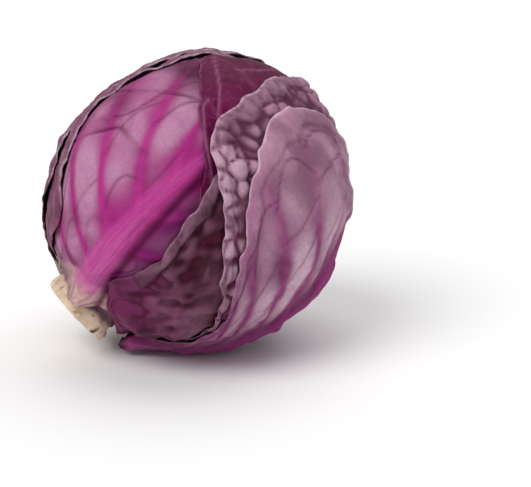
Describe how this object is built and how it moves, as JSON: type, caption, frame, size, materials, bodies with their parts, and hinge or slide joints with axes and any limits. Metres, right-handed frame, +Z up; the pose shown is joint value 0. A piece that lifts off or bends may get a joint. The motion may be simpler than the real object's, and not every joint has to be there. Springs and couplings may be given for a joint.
{
  "type": "cabbage head",
  "caption": "Whole red cabbage head lying on its side, with layered veined wrapper leaves, wavy leaf margins and a cut corky stalk stump.",
  "frame": {"origin": "middle of the small flat spot that the head rests on", "axes": "+Z up; the head's long axis lies in the XZ plane, with the crown towards +X and up and the cut stalk towards -X and down; the pictured face is towards -Y"},
  "size_m": [0.1652, 0.158, 0.1619],
  "materials": {
    "stalk": "dry corky cut stalk",
    "heart": "waxy purple leaf",
    "leaf_back_inner": "waxy purple leaf",
    "leaf_front": "glossy magenta leaf with a thick midrib",
    "leaf_crown": "dark glossy purple leaf",
    "leaf_top": "waxy purple leaf with a wavy margin",
    "leaf_under": "waxy purple leaf",
    "leaf_bottom": "dark crinkled leaf with a pale margin",
    "leaf_right": "puckered leaf with a pale wax bloom",
    "leaf_rear_outer": "waxy purple leaf with a wavy margin",
    "leaf_right_outer": "smooth leaf with a pale wax bloom"
  },
  "bodies": {
    "root": {"stalk": "stalk", "heart": "heart", "leaf_back_inner": "leaf_back_inner", "leaf_front": "leaf_front", "leaf_crown": "leaf_crown", "leaf_top": "leaf_top", "leaf_under": "leaf_under", "leaf_bottom": "leaf_bottom", "leaf_right": "leaf_right", "leaf_rear_outer": "leaf_rear_outer", "leaf_right_outer": "leaf_right_outer"}
  },
  "joints": []
}
